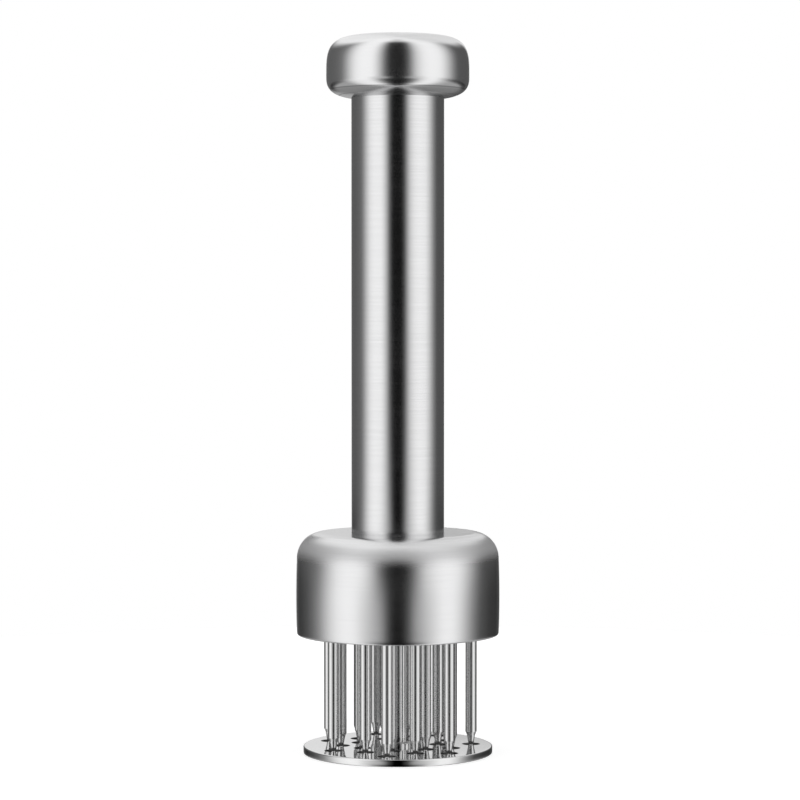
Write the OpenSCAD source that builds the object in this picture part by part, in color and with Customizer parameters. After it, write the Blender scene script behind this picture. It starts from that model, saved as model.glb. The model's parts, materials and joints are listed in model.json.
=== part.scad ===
// Blade meat tenderizer with a sprung guard disc.
// It stands on its guard. The origin is under the middle of the guard disc, with +Z up the handle.
// Pressing the handle down moves the head towards the guard, so the blades come out under the disc.

/* [Overall] */
// Height from the table to the crown of the knob
total_h = 195; // [180:1:220]

/* [Guard] */
// Radial clearance of the guard disc inside the head's mouth
guard_gap = 0.6; // [0.3:0.05:1.5]
// Thickness of the guard disc
guard_t = 2; // [1.6:0.1:3]
// Rounding of the guard disc's rim, above and below
guard_edge_r = 0.35; // [0.2:0.05:0.8]
// Diameter of each blade hole in the guard disc
guard_hole_d = 4.5; // [4:0.1:5.5]
// Clear height between the guard disc and the rim of the head
rim_gap = 30.4; // [24:0.2:36]

/* [Guard stem] */
// Diameter of the stem that carries the guard disc
stem_d = 6; // [5:0.2:7]
// Width of the stem's foot flange, around the stem
stem_foot_w = 1.5; // [1:0.1:2.5]
// Thickness of the stem's foot flange
stem_foot_t = 1; // [0.6:0.1:2]
// Width of the step down to the stem's threaded upper end
stem_step_w = 1; // [0.6:0.1:1.4]
// Clear height left over the stem's foot flange when the guard is fully pushed in
foot_gap = 0.3; // [0.2:0.1:1]
// Thickness of the washer under the spring
stem_washer_t = 2; // [1.5:0.1:3]
// Wall of the stem nut, from its thread to its flats
stem_nut_wall = 1.5; // [1:0.1:2.5]
// Thickness of the stem nut
stem_nut_t = 3.2; // [2:0.1:5]
// Stem that stands out past its nut
stem_nut_rise = 1; // [0.5:0.1:3]
// Diameter of the screw that holds the guard disc
stem_screw_d = 3; // [2:0.1:3.4]
// Head diameter of the countersunk screw
stem_screw_head_d = 5.6; // [4.5:0.1:7]
// Depth of the screw's thread inside the stem
stem_screw_reach = 7; // [4:0.5:12]
// Width across the flats of the screw's hexagon socket
stem_screw_socket_af = 1.8; // [1.2:0.1:2.2]
// Depth of the screw's hexagon socket
stem_screw_socket_h = 0.9; // [0.5:0.1:1.2]

/* [Needle blades] */
// Diameter of a blade's round shank
needle_d = 3.1; // [2.4:0.1:3.4]
// Diameter of a blade's head, held in the needle plate
needle_head_d = 4.6; // [4:0.1:5.2]
// Thickness of a blade's head
needle_head_t = 1.5; // [1:0.1:2.5]
// Height of the blade points over the table, inside the guard disc's holes
needle_tip_z = 0.8; // [0.4:0.1:1.2]
// Length of the whole ground point
needle_point_h = 4.7; // [3.5:0.1:7]
// Length of the steep shoulder where the grinding starts
needle_shoulder_h = 0.9; // [0.4:0.1:1.5]
// Diameter under the steep shoulder
needle_neck_d = 2.3; // [1.6:0.1:2.4]
// Diameter where the last bevel starts
needle_bevel_d = 1.3; // [0.8:0.1:1.5]
// Length of the last bevel
needle_bevel_h = 1.1; // [0.8:0.1:2]
// Diameter of the flat at the very point
needle_flat_d = 0.2; // [0.1:0.05:0.4]
// Blades in each of the three rings
ring_count = 7; // [5:1:7]
// Distance of the outer ring of blades from the guard disc's rim
outer_ring_margin = 5.7; // [4:0.1:6.5]
// Distance of the inner ring of blades from the guide sleeve's flange
inner_ring_margin = 3.5; // [2.8:0.1:4.5]
// Turn of the outer and inner rings about the handle, in degrees
ring_turn = 4.7; // [0:0.1:50]

/* [Head] */
// Largest diameter of the head
head_od = 55.4; // [50:0.1:62]
// Height of the head from its rim to its flat top
head_h = 27.8; // [24:0.1:32]
// Wall of the head
head_wall = 1.1; // [0.8:0.1:1.3]
// How much the head's side swells between its rim and its shoulder, on the radius
head_swell = 0.2; // [0:0.05:0.6]
// Width of the rounded shoulder, along the radius
head_shoulder_w = 6.8; // [5:0.1:8.5]
// Height of the rounded shoulder
head_shoulder_h = 7; // [4:0.1:8]
// Thickness of the plate that holds the blades
needle_plate_t = 6; // [5.5:0.1:7]
// Thickness of the plate over the blade heads
clamp_plate_t = 3; // [2:0.1:4]
// Diameter of the locating pins
pin_d = 2.5; // [2:0.1:2.8]
// Metal left between a locating pin and the guide sleeve
pin_wall = 1.15; // [0.8:0.05:1.4]
// Depth of a locating pin in the needle plate
pin_seat_h = 3; // [2:0.1:3.2]
// Wall of the neck collar's hub, around the tube
collar_wall = 4.7; // [3:0.1:6]
// Width of the neck collar's weld rim, which touches the head's flat top around the tube
collar_rim_w = 2; // [1:0.1:2.4]
// Height of the neck collar's weld rim
collar_rim_h = 2; // [1:0.1:4]
// Inset of the neck collar's foot from the edge of the plates
collar_foot_inset = 3.9; // [1:0.1:6]
// Thickness of the neck collar's foot
collar_foot_t = 3; // [2:0.1:5]

/* [Guide sleeve] */
// Wall of the guide sleeve's threaded body
sleeve_wall = 2; // [1.5:0.1:2.5]
// Width of the guide sleeve's flange, around its body
sleeve_flange_w = 2.5; // [2:0.1:3.5]
// Thickness of the guide sleeve's flange
sleeve_flange_t = 2; // [1.5:0.1:2.4]
// Height of the guide sleeve above the clamp plate
sleeve_rise = 17; // [14:0.5:24]
// Diameter of the two spanner holes in the guide sleeve's flange
spanner_hole_d = 1.4; // [1:0.1:1.6]
// Depth of the spanner holes
spanner_hole_h = 1.2; // [0.6:0.1:1.4]
// Height of the threaded insert in the tube's lower end
tube_nut_h = 12; // [8:0.5:13]
// Width by which the soft stop ring stands out past the guide sleeve
bumper_ledge = 1.5; // [0:0.1:4]
// Thickness of the soft stop ring
bumper_t = 2; // [1.5:0.1:4]

/* [Handle] */
// Outer diameter of the handle tube
tube_od = 25.2; // [24.4:0.2:28]
// Wall of the handle tube
tube_wall = 1; // [0.8:0.1:1.3]
// Height of the threaded plug in the tube's upper end
plug_h = 14; // [12:0.5:20]
// Thickness of the spring stop's flange
spring_stop_t = 2; // [1.5:0.1:4]
// Radial clearance of the spring stop's spigot inside the spring
spring_spigot_gap = 0.6; // [0.4:0.1:2]
// Height of the spring stop's spigot
spring_spigot_h = 4; // [2:0.1:8]

/* [Return spring] */
// Radial clearance of the spring inside the tube
spring_side_gap = 1.7; // [0.8:0.1:2.5]
// Diameter of the spring's wire
spring_wire_d = 1.6; // [1:0.1:1.8]
// Turns of the spring
spring_turns = 14; // [8:1:20]
// Clear gap between the closed turns at each end of the spring
spring_end_gap = 0.6; // [0.5:0.1:1]

/* [Knob] */
// Width by which the knob stands out past the tube
knob_overhang = 6.8; // [5.6:0.1:9]
// Height of the knob
knob_h = 17.2; // [15:0.2:22]
// Wall of the knob's shell
knob_wall = 1.2; // [0.8:0.1:1.6]
// Height of the knob's widest place above its underside
knob_waist_h = 6.2; // [5.5:0.1:8.5]
// Width of the knob base's ring that shows between the tube and the shell
knob_ring_w = 3.3; // [2.5:0.1:3.8]
// Width of the knob base's rim that is trapped inside the shell
knob_rim_w = 0.9; // [0.6:0.1:1.2]
// Thickness of the knob base's rim
knob_rim_t = 2; // [1:0.1:3]
// Depth to which the tube stands in the knob's base
knob_socket_h = 2.5; // [1.5:0.1:3]
// Diameter of the knob base's hub
knob_hub_d = 16; // [12:0.5:20]
// Height of the knob base's hub over the tube's end
knob_hub_h = 6.5; // [5:0.1:8]
// Diameter of the stud between knob and tube plug
stud_d = 6; // [5:0.2:8]
// Depth of the stud in the tube plug
stud_plug_h = 10; // [6:0.5:11]
// Depth of the stud in the knob's base
stud_knob_h = 5; // [3:0.1:5.5]

/* [Hidden] */
$fn = 96;
// Overrun of every cut past the solid that it cuts
cut = 1;
// Radial clearance of parts that are screwed, pressed or slipped into each other
fit_gap = 0.05;
// Radial clearance of the stem in its guide sleeve
stem_run_gap = 0.06;
// Radial clearance of the plates in the head
plate_gap = 0.15;
// Radial clearance of the washer under the spring, which slides in the tube
washer_gap = 0.4;
// Radial clearance of the stem in the soft stop ring
bumper_gap = 0.3;
// Rest gap between the stem washer and the soft stop ring
stop_gap = 0.1;
// Sink of the screw head under the disc's lower face
screw_sink = 0.1;
// Clear room at the blind end of a screw, pin or stud
end_room = 0.3;
// Clear gap between the spring's end turns and their seats
spring_seat_gap = 0.05;

// Exponents of the knob's outline over and under its widest place: across, then along the handle
crown_powers = [6, 3.6];
under_powers = [4.5, 2.9];
// Points on each half of the knob's outline, on the shoulder, the side and the rim of the head
outline_steps = 24;
shoulder_steps = 12;
side_steps = 8;
rim_steps = 6;

// Rings of points in each turn of the spring, and sides of its wire
spring_rings = 8;
wire_sides = 6;
// Closed turns at each end of the spring, and turns over which it opens up
closed_turns = 1;
opening_turns = 1;

// Heights along the handle, from the table up
rim_z = guard_t + rim_gap;
foot_top_z = guard_t + stem_foot_t;
plate_z = rim_z + foot_top_z + foot_gap;
plate_top_z = plate_z + needle_plate_t;
clamp_top_z = plate_top_z + clamp_plate_t;
head_top_z = rim_z + head_h;
ceiling_z = head_top_z - head_wall;
sleeve_top_z = clamp_top_z + sleeve_rise;
bumper_top_z = sleeve_top_z + bumper_t;
washer_z = bumper_top_z + stop_gap;
washer_top_z = washer_z + stem_washer_t;
nut_top_z = washer_top_z + stem_nut_t;
stem_top_z = nut_top_z + stem_nut_rise;
knob_z = total_h - knob_h;
tube_top_z = knob_z + knob_socket_h;
plug_z = tube_top_z - plug_h;
spring_top_z = plug_z - spring_stop_t;
waist_z = knob_z + knob_waist_h;
hub_top_z = tube_top_z + knob_hub_h;

// Radii and diameters that follow from the sizes above
tube_r = tube_od / 2;
tube_in_r = tube_r - tube_wall;
mouth_r = head_od / 2 - head_swell - head_wall;
plate_r = mouth_r - plate_gap;
guard_r = mouth_r - guard_gap;
collar_r = tube_r + fit_gap + collar_wall;
collar_rim_r = tube_r + fit_gap + collar_rim_w;
collar_foot_r = plate_r - collar_foot_inset;
stem_foot_d = stem_d + 2 * stem_foot_w;
stem_end_d = stem_d - 2 * stem_step_w;
stem_nut_af = stem_end_d + 2 * stem_nut_wall;
sleeve_bore_r = stem_d / 2 + stem_run_gap;
sleeve_od = stem_d + 2 * sleeve_wall;
sleeve_flange_d = sleeve_od + 2 * sleeve_flange_w;
bumper_od = sleeve_od + 2 * bumper_ledge;
pin_ring_r = sleeve_od / 2 + pin_wall + pin_d / 2;
ring_outer_r = guard_r - outer_ring_margin;
ring_inner_r = sleeve_flange_d / 2 + inner_ring_margin;
ring_middle_r = (ring_outer_r + ring_inner_r) / 2;
spring_mean_r = tube_in_r - spring_side_gap - spring_wire_d / 2;
spring_spigot_d = 2 * spring_mean_r - spring_wire_d - 2 * spring_spigot_gap;
knob_r = tube_r + knob_overhang;
knob_mouth_r = tube_r + knob_ring_w;
knob_rim_r = knob_mouth_r + knob_rim_w;

// Every blade: its radius and its angle, ring by ring
ring_step = 360 / ring_count;
needle_places = [
    for (ring = [[ring_outer_r, 0], [ring_middle_r, 1 / 2], [ring_inner_r, 0]])
        for (i = [0:ring_count - 1])
            [ring[0], ring_turn + (i + ring[1]) * ring_step]
];
needle_count = len(needle_places);

function needle_name(i) = str("needle_", i < 10 ? "0" : "", i);

// Radius of half a squashed ellipse at a share of its height
function power_radius(r, share, powers) = r * pow(1 - pow(share, powers[1]), 1 / powers[0]);

// Height share of the same curve at a radius
function power_share(r, at_r, powers) = pow(1 - pow(at_r / r, powers[0]), 1 / powers[1]);

// Outline of the knob from its crown to the middle of its underside, a wall's depth inside
function knob_outline(inset) =
    let (
        r = knob_r - inset,
        over_h = total_h - waist_z - inset,
        under_h = knob_waist_h - inset
    )
    concat(
        [
            for (i = [0:outline_steps])
                let (a = 90 - 90 * i / outline_steps)
                [power_radius(r, sin(a), crown_powers), waist_z + over_h * sin(a)]
        ],
        [
            for (i = [1:outline_steps])
                let (a = 90 * i / outline_steps)
                [power_radius(r, sin(a), under_powers), waist_z - under_h * sin(a)]
        ]
    );

// Height of the knob shell's inner face, under the widest place, at a radius
function knob_inner_z(at_r) =
    waist_z - (knob_waist_h - knob_wall) * power_share(knob_r - knob_wall, at_r, under_powers);

// Radius of the head's outside at a height, swelling like a shallow arch between rim and shoulder
function head_side_r(z) =
    let (
        share = (z - rim_z) / (head_h - head_shoulder_h)
    )
    head_od / 2 - head_swell * pow(2 * share - 1, 2);

// Side and shoulder of the head from its rim up to its flat top, a wall's depth inside
function head_outline(inset) =
    let (
        shoulder_z = head_top_z - head_shoulder_h,
        lip_r = head_wall / 2,
        shoulder_r = head_side_r(shoulder_z) - inset,
        flat_r = shoulder_r - (head_shoulder_w - inset)
    )
    concat(
        [
            for (i = [0:side_steps])
                let (z = rim_z + lip_r + (shoulder_z - rim_z - lip_r) * i / side_steps)
                [head_side_r(z) - inset, z]
        ],
        [
            for (i = [1:shoulder_steps])
                let (a = 90 * i / shoulder_steps)
                [
                    flat_r + (shoulder_r - flat_r) * cos(a),
                    shoulder_z + (head_shoulder_h - inset) * sin(a)
                ]
        ]
    );

// Half-round lip that joins the head's inside to its outside at the rim
function head_lip() =
    let (
        lip_r = head_wall / 2,
        lip_z = rim_z + lip_r,
        middle_r = head_side_r(lip_z) - lip_r
    )
    [
        for (i = [1:rim_steps - 1])
            let (a = 180 + 180 * i / rim_steps)
            [middle_r + lip_r * cos(a), lip_z + lip_r * sin(a)]
    ];

function reversed(points) = [for (i = [len(points) - 1:-1:0]) points[i]];

// Share of the spring's opening at a turn: flat, a rising ramp, steady, a falling ramp, flat
function spring_opening(turn) =
    let (
        steady = spring_turns - 2 * closed_turns - 2 * opening_turns,
        rate = 1 / (steady + opening_turns),
        from_start = turn - closed_turns,
        from_end = spring_turns - closed_turns - turn
    )
    from_start <= 0 ? 0
    : from_end <= 0 ? 1
    : from_start < opening_turns ? rate * pow(from_start, 2) / (2 * opening_turns)
    : from_end < opening_turns ? 1 - rate * pow(from_end, 2) / (2 * opening_turns)
    : rate * (from_start - opening_turns / 2);

// Height of the wire's middle at a turn, between the washer below and the stop above
function spring_z(turn) =
    let (
        low_z = washer_top_z + spring_seat_gap + spring_wire_d / 2,
        high_z = spring_top_z - spring_seat_gap - spring_wire_d / 2,
        closed_rise = (spring_wire_d + spring_end_gap) * turn,
        open_rise = high_z - low_z - (spring_wire_d + spring_end_gap) * spring_turns
    )
    low_z + closed_rise + open_rise * spring_opening(turn);

spring_points = [
    for (ring = [0:spring_turns * spring_rings])
        let (
            turn = ring / spring_rings,
            a = 360 * turn
        )
        for (side = [0:wire_sides - 1])
            let (
                b = 360 * side / wire_sides,
                r = spring_mean_r + spring_wire_d / 2 * cos(b)
            )
            [r * cos(a), r * sin(a), spring_z(turn) + spring_wire_d / 2 * sin(b)]
];
spring_faces = concat(
    [
        for (ring = [0:spring_turns * spring_rings - 1])
            for (side = [0:wire_sides - 1])
                let (
                    next = (side + 1) % wire_sides,
                    low = ring * wire_sides,
                    high = low + wire_sides
                )
                each [
                    [low + side, high + side, high + next],
                    [low + side, high + next, low + next]
                ]
    ],
    [for (side = [1:wire_sides - 2]) [0, side, side + 1]],
    [
        for (side = [1:wire_sides - 2])
            let (last = spring_turns * spring_rings * wire_sides)
            [last, last + side + 1, last + side]
    ]
);
spring_gap = min([
    for (ring = [0:(spring_turns - 1) * spring_rings])
        let (turn = ring / spring_rings)
        spring_z(turn + 1) - spring_z(turn) - spring_wire_d
]);
echo(least_gap_between_the_turns_of_the_spring = spring_gap);

// A ring or a tube standing on a height
module ring_solid(outer_r, inner_r, z, h) {
    translate([0, 0, z])
        difference() {
            cylinder(r = outer_r, h = h);
            translate([0, 0, -cut])
                cylinder(r = inner_r, h = h + 2 * cut);
        }
}

// A round hole or shaft from one height to another
module shaft(d, z, top_z) {
    translate([0, 0, z])
        cylinder(d = d, h = top_z - z);
}

module at_needles() {
    for (place = needle_places)
        rotate([0, 0, place[1]])
            translate([place[0], 0, 0])
                children();
}

module at_pins() {
    for (i = [0, floor(ring_count / 2)])
        rotate([0, 0, ring_turn + (i + 1 / 2) * ring_step])
            translate([pin_ring_r, 0, 0])
                children();
}

module guard_disc() {
    flat_r = guard_r - guard_edge_r;
    color("gainsboro")
        difference() {
            rotate_extrude()
                union() {
                    square([flat_r, guard_t]);
                    translate([0, guard_edge_r])
                        square([guard_r, guard_t - 2 * guard_edge_r]);
                    intersection() {
                        for (z = [guard_edge_r, guard_t - guard_edge_r])
                            translate([flat_r, z])
                                circle(r = guard_edge_r);
                        square([guard_r, guard_t]);
                    }
                }
            at_needles()
                shaft(guard_hole_d, -cut, guard_t + cut);
            shaft(stem_screw_d + 2 * fit_gap, -cut, guard_t + cut);
            screw_cone(fit_gap);
        }
}

// The countersunk head as a cone with a right angle at its point, grown by a clearance
module screw_cone(gap) {
    head_r = stem_screw_head_d / 2 + gap;
    rotate_extrude()
        polygon([
            [0, gap > 0 ? -cut : screw_sink],
            [head_r, gap > 0 ? -cut : screw_sink],
            [head_r, screw_sink],
            [0, screw_sink + head_r]
        ]);
}

module stem_screw() {
    color("silver")
        difference() {
            union() {
                screw_cone(0);
                shaft(stem_screw_d, screw_sink, guard_t + stem_screw_reach);
            }
            translate([0, 0, screw_sink - cut])
                cylinder(d = stem_screw_socket_af / cos(30), h = stem_screw_socket_h + cut, $fn = 6);
        }
}

module guard_stem() {
    color("lightgray")
        difference() {
            union() {
                shaft(stem_foot_d, guard_t, foot_top_z);
                shaft(stem_d, guard_t, washer_z);
                shaft(stem_end_d, guard_t, stem_top_z);
            }
            shaft(stem_screw_d + 2 * fit_gap, guard_t - cut, guard_t + stem_screw_reach + end_room);
        }
}

module stem_washer() {
    color("darkgray")
        ring_solid(tube_in_r - washer_gap, stem_end_d / 2 + fit_gap, washer_z, stem_washer_t);
}

module stem_nut() {
    color("silver")
        translate([0, 0, washer_top_z])
            difference() {
                cylinder(d = stem_nut_af / cos(30), h = stem_nut_t, $fn = 6);
                translate([0, 0, -cut])
                    cylinder(d = stem_end_d + 2 * fit_gap, h = stem_nut_t + 2 * cut);
            }
}

module needle() {
    color("lightgray")
        rotate_extrude()
            polygon([
                [0, needle_tip_z],
                [needle_flat_d / 2, needle_tip_z],
                [needle_bevel_d / 2, needle_tip_z + needle_bevel_h],
                [needle_neck_d / 2, needle_tip_z + needle_point_h - needle_shoulder_h],
                [needle_d / 2, needle_tip_z + needle_point_h],
                [needle_d / 2, plate_top_z - needle_head_t],
                [needle_head_d / 2, plate_top_z - needle_head_t],
                [needle_head_d / 2, plate_top_z],
                [0, plate_top_z]
            ]);
}

module placed_needle(i) {
    place = needle_places[i - 1];
    rotate([0, 0, place[1]])
        translate([place[0], 0, 0])
            needle();
}

module needle_plate() {
    color("lightslategray")
        difference() {
            shaft(2 * plate_r, plate_z, plate_top_z);
            at_needles()
                shaft(needle_d + 2 * fit_gap, plate_z - cut, plate_top_z + cut);
            at_needles()
                shaft(needle_head_d + 2 * fit_gap, plate_top_z - needle_head_t, plate_top_z + cut);
            at_pins()
                shaft(pin_d + 2 * fit_gap, plate_top_z - pin_seat_h, plate_top_z + cut);
            shaft(sleeve_od + 2 * fit_gap, plate_z - cut, plate_top_z + cut);
            shaft(sleeve_flange_d + 2 * fit_gap, plate_z - cut, plate_z + sleeve_flange_t);
        }
}

module clamp_plate() {
    color("slategray")
        difference() {
            shaft(2 * plate_r, plate_top_z, clamp_top_z);
            at_pins()
                shaft(pin_d + 2 * fit_gap, plate_top_z - cut, clamp_top_z + cut);
            shaft(sleeve_od + 2 * fit_gap, plate_top_z - cut, clamp_top_z + cut);
        }
}

module locating_pins() {
    color("dimgray")
        at_pins()
            shaft(pin_d, plate_top_z - pin_seat_h, clamp_top_z - end_room);
}

module neck_collar() {
    color("gray")
        union() {
            ring_solid(collar_foot_r, tube_r + fit_gap, clamp_top_z, collar_foot_t);
            ring_solid(collar_r, tube_r + fit_gap, clamp_top_z, ceiling_z - collar_rim_h - clamp_top_z);
            ring_solid(collar_rim_r, tube_r + fit_gap, clamp_top_z, ceiling_z - clamp_top_z);
        }
}

module guide_sleeve() {
    spanner_r = (sleeve_bore_r + sleeve_flange_d / 2) / 2;
    color("darkgray")
        difference() {
            union() {
                shaft(sleeve_flange_d, plate_z, plate_z + sleeve_flange_t);
                shaft(sleeve_od, plate_z, sleeve_top_z);
            }
            shaft(2 * sleeve_bore_r, plate_z - cut, sleeve_top_z + cut);
            for (side = [-1, 1])
                translate([side * spanner_r, 0, plate_z - cut])
                    cylinder(d = spanner_hole_d, h = spanner_hole_h + cut);
        }
}

module tube_nut() {
    color("gray")
        ring_solid(tube_in_r - fit_gap, sleeve_od / 2 + fit_gap, clamp_top_z, tube_nut_h);
}

module bumper_ring() {
    color("darkslategray")
        ring_solid(bumper_od / 2, stem_d / 2 + bumper_gap, sleeve_top_z, bumper_t);
}

module head_shell() {
    outer = head_outline(0);
    inner = head_outline(head_wall);
    bore_r = tube_r + fit_gap;
    color("silver")
        rotate_extrude()
            polygon(concat(
                outer,
                [[bore_r, head_top_z], [bore_r, ceiling_z]],
                reversed(inner),
                head_lip()
            ));
}

module handle_tube() {
    color("silver")
        ring_solid(tube_r, tube_in_r, clamp_top_z, tube_top_z - clamp_top_z);
}

module return_spring() {
    color("dimgray")
        polyhedron(points = spring_points, faces = spring_faces);
}

module spring_stop() {
    color("gray")
        union() {
            shaft(2 * (tube_in_r - washer_gap), spring_top_z, plug_z);
            shaft(spring_spigot_d, spring_top_z - spring_spigot_h, plug_z);
        }
}

module top_plug() {
    color("gray")
        difference() {
            shaft(2 * (tube_in_r - fit_gap), plug_z, tube_top_z);
            shaft(stud_d + 2 * fit_gap, tube_top_z - stud_plug_h - end_room, tube_top_z + cut);
        }
}

module knob_stud() {
    color("dimgray")
        shaft(stud_d, tube_top_z - stud_plug_h, tube_top_z + stud_knob_h);
}

// The knob's closed outer form, a wall's depth inside
module knob_form(inset) {
    rotate_extrude()
        polygon(knob_outline(inset));
}

module knob_shell() {
    color("silver")
        difference() {
            knob_form(0);
            knob_form(knob_wall);
            shaft(2 * knob_mouth_r, knob_z - cut, waist_z);
        }
}

module knob_base() {
    seat_z = knob_inner_z(knob_rim_r) + fit_gap;
    color("lightgray")
        difference() {
            union() {
                intersection() {
                    knob_form(0);
                    shaft(2 * (knob_mouth_r - fit_gap), knob_z - cut, seat_z + knob_rim_t);
                }
                shaft(2 * knob_rim_r, seat_z, seat_z + knob_rim_t);
                shaft(knob_hub_d, seat_z, hub_top_z);
            }
            shaft(tube_od + 2 * fit_gap, knob_z - cut, tube_top_z);
            shaft(stud_d + 2 * fit_gap, knob_z - cut, tube_top_z + stud_knob_h + end_room);
        }
}

guard_disc();
guard_stem();
stem_screw();
stem_washer();
stem_nut();
head_shell();
needle_plate();
clamp_plate();
locating_pins();
neck_collar();
guide_sleeve();
tube_nut();
bumper_ring();
handle_tube();
return_spring();
spring_stop();
top_plug();
knob_stud();
knob_base();
knob_shell();
for (i = [1:needle_count])
    placed_needle(i);
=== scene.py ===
import json
import math

import bpy
import numpy as np
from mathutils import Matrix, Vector, geometry


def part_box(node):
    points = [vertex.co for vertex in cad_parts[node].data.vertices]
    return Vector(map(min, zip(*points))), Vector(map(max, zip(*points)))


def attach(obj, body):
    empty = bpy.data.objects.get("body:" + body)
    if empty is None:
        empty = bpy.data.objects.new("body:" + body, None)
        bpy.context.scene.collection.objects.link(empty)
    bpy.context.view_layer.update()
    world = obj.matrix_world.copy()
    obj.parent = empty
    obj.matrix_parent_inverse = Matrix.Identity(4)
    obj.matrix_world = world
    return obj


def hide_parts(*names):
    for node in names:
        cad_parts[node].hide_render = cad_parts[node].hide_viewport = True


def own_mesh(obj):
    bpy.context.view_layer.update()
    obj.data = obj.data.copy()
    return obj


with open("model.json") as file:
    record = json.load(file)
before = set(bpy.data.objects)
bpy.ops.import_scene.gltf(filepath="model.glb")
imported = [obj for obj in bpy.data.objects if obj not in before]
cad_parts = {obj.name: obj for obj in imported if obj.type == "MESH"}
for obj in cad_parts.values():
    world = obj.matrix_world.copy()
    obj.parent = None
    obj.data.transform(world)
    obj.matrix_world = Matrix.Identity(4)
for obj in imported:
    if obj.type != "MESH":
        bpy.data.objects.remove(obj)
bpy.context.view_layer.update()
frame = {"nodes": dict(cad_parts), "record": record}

# Blade meat tenderizer: knob, brushed tube, cup head, a bundle of needle blades and a sprung guard disc.
# Everything is in metres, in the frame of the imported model: the table is z = 0, the handle runs up +Z.

scene = bpy.context.scene
nodes = frame["nodes"]
mm = 0.001
axisReach = 1e-6 * mm        # a point nearer to the axis than this lies on it


def nodeTop(name):
    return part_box(name)[1].z


def nodeRadius(name):
    low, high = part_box(name)
    return (high.x - low.x) / 2


def nodeCentre(name):
    low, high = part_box(name)
    return (low.x + high.x) / 2, (low.y + high.y) / 2


print("stage: camera and studio")

# The photograph's view: straight at the front, a little above the middle of the handle
cameraLook = {
    "distance": 0.780,
    "height": 0.124,
    "aimHeight": 0.09625,
    "aimX": 0.0006,
    "lens": 129.1,
    "sensor": 36.0,
    "clipStart": 0.01,
}

# Light of the screens by direction round the tool. 0 degrees is the camera's side and plus is to the right.
# Each row of the ring light is (angle, light at eye level, light overhead, rise), and the first light turns
# into the second over the rise. Each row of the low light is (angle, low light, deep light). The deep light
# turns into the low light between the deep ends, and that into the light at eye level between the low ends.
studioLook = {
    "ringRadius": 1.3,
    "ringLow": -12.0,
    "ringHigh": 9.0,
    "ringSteps": 180,
    "ringLight": [
        (-180, 0.6, 0.8, 0.1), (-173, 0.5, 0.86, 0.1), (-166, 0.14, 0.95, 0.7), (-145, 0.11, 0.98, 0.9),
        (-125, 0.12, 1.0, 1.2), (-112, 0.14, 1.0, 1.45), (-101, 0.18, 1.05, 1.75), (-92, 0.36, 1.05, 2.0),
        (-82, 0.68, 1.05, 2.25), (-72, 0.98, 1.1, 2.5), (-60, 1.1, 1.1, 2.8), (-42, 1.1, 1.1, 3.2),
        (-34, 0.86, 1.05, 3.45), (-27, 0.5, 1.0, 3.45), (-20, 0.11, 0.9, 3.45), (-13, 0.0, 0.75, 3.45),
        (0, 0.0, 0.6, 3.45), (10, 0.0, 0.75, 3.45), (17, 0.08, 0.85, 3.45), (24, 0.41, 0.95, 3.45),
        (31, 0.77, 1.0, 3.45), (42, 1.02, 1.05, 3.2), (55, 1.1, 1.05, 2.8), (72, 1.05, 0.95, 2.5),
        (82, 0.8, 0.9, 2.2), (92, 0.49, 0.85, 1.95), (101, 0.24, 0.82, 1.7), (112, 0.1, 0.8, 1.4),
        (125, 0.09, 0.85, 1.15), (150, 0.09, 0.85, 0.9), (172, 0.1, 0.78, 0.13), (180, 0.1, 0.88, 0.12),
    ],
    "lowLight": [
        (-180, 0.6, 0.3), (-170, 0.6, 0.3), (-162, 0.08, 0.35), (-145, 0.03, 0.4), (-125, 0.07, 0.4),
        (-112, 0.14, 0.4), (-101, 0.27, 0.4), (-92, 0.5, 0.5), (-82, 0.8, 0.8), (-72, 1.02, 1.0),
        (-60, 1.12, 1.05), (-50, 1.07, 1.05), (-40, 0.82, 0.8), (-30, 0.62, 0.3), (-20, 0.44, 0.05),
        (-11, 0.07, 0.0), (-5, 0.0, 0.0), (5, 0.0, 0.0), (12, 0.08, 0.0), (20, 0.4, 0.05), (30, 0.6, 0.3),
        (40, 0.8, 0.8), (52, 1.08, 1.05), (64, 1.08, 1.05), (74, 0.82, 0.9), (84, 0.48, 0.6),
        (94, 0.22, 0.45), (105, 0.08, 0.4), (125, 0.04, 0.4), (148, 0.03, 0.35), (170, 0.1, 0.3),
        (180, 0.1, 0.3),
    ],
    "lowEnd": (-0.055, -0.015),
    "deepEnd": (-0.45, -0.2),
    "riseStart": 0.1,
    "riseSoftness": 0.5,
    "roomRise": (-0.3, 0.3),
    "roomLight": (0.3, 0.75),       # under and over the tool
    "floorRadius": 0.3,
    "floorSteps": 96,
    "floorGap": 0.02 * mm,
    "floorColour": (0.9, 0.9, 0.9, 1),
    "floorLift": 0.5,
}


def newNodeMaterial(name):
    material = bpy.data.materials.new(name)
    material.use_nodes = True
    tree = material.node_tree
    tree.nodes.clear()
    return material, tree


def addNode(tree, kind, **settings):
    node = tree.nodes.new(kind)
    for key, value in settings.items():
        setattr(node, key, value)
    return node


def link(tree, source, target):
    tree.links.new(source, target)


# Math node. Each value is a socket or a number, or three numbers for a vector.
def addMath(tree, operation, *values, kind="ShaderNodeMath"):
    node = addNode(tree, kind, operation=operation)
    for socket, value in zip(node.inputs, values):
        if isinstance(value, bpy.types.NodeSocket):
            link(tree, value, socket)
        else:
            socket.default_value = value
    return node.outputs[0]


# The value goes from one pair of ends to the other and stays between these
def addRange(tree, value, fromEnds, toEnds=(0.0, 1.0), smooth=False):
    node = addNode(tree, "ShaderNodeMapRange", interpolation_type="SMOOTHSTEP" if smooth else "LINEAR")
    for socket, number in zip(("From Min", "From Max", "To Min", "To Max"), (*fromEnds, *toEnds)):
        node.inputs[socket].default_value = number
    link(tree, value, node.inputs["Value"])
    return node.outputs["Result"]


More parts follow.
